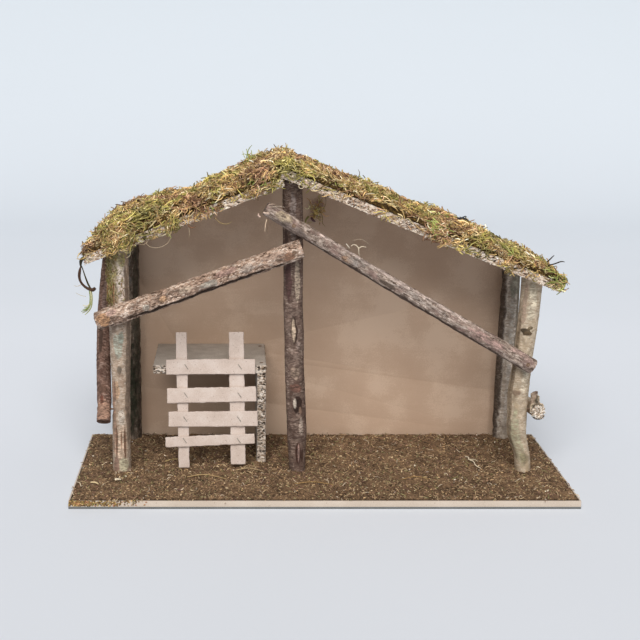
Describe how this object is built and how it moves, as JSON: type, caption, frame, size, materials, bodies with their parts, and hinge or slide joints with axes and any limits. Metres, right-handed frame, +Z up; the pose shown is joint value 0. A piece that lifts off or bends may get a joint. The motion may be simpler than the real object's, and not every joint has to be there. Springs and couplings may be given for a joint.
{
  "type": "nativity stable",
  "caption": "Rustic log-and-board stable with a moss roof, back wall, leaning fence and small hayloft, open at the front to hold figures.",
  "frame": {"origin": "centre of the base's underside, on the surface the stable stands on", "axes": "+X along the base to the viewer's right, +Y from the open front to the back panel, +Z up"},
  "size_m": [0.55, 0.244, 0.3662],
  "materials": {
    "raw_fibreboard": "matt raw board",
    "white_backing": "matt white laminate",
    "ground_granules": "rough glued granules",
    "hardboard": "smooth matt hardboard",
    "pale_bark": "matt bark",
    "brown_bark": "rough bark",
    "dark_bark": "rough bark",
    "chipboard": "rough chipboard",
    "moss": "dry fibrous moss",
    "platform_board": "matt weathered board",
    "pale_strip": "matt raw board",
    "steel": "dull wire and nails",
    "glue": "dried glue",
    "twig": "dry twig"
  },
  "bodies": {
    "root": {"base_board": "raw_fibreboard", "base_backing": "white_backing", "ground_cover": "ground_granules", "back_panel": "hardboard", "front_left_post": "pale_bark", "centre_post": "brown_bark", "front_right_post": "pale_bark", "rear_left_post": "dark_bark", "rear_right_post": "brown_bark", "left_front_brace": "dark_bark", "right_front_brace": "brown_bark", "left_side_brace": "dark_bark", "right_side_rail": "pale_bark", "left_roof_board": "chipboard", "right_roof_board": "chipboard", "left_roof_moss": "moss", "right_roof_moss": "moss", "platform_top": "platform_board", "platform_side_board": "chipboard", "fence_left_stile": "pale_strip", "fence_right_stile": "pale_strip", "fence_top_rail": "pale_strip", "fence_upper_rail": "pale_strip", "fence_lower_rail": "pale_strip", "fence_bottom_rail": "pale_strip", "fence_staples": "steel", "fence_glue": "glue", "post_screws": "steel", "roof_nails": "steel", "brace_nails": "steel", "side_nails": "steel", "panel_nails": "steel", "platform_nails": "steel", "post_moss": "moss", "panel_moss": "moss", "hanging_twig": "twig"}
  },
  "joints": []
}
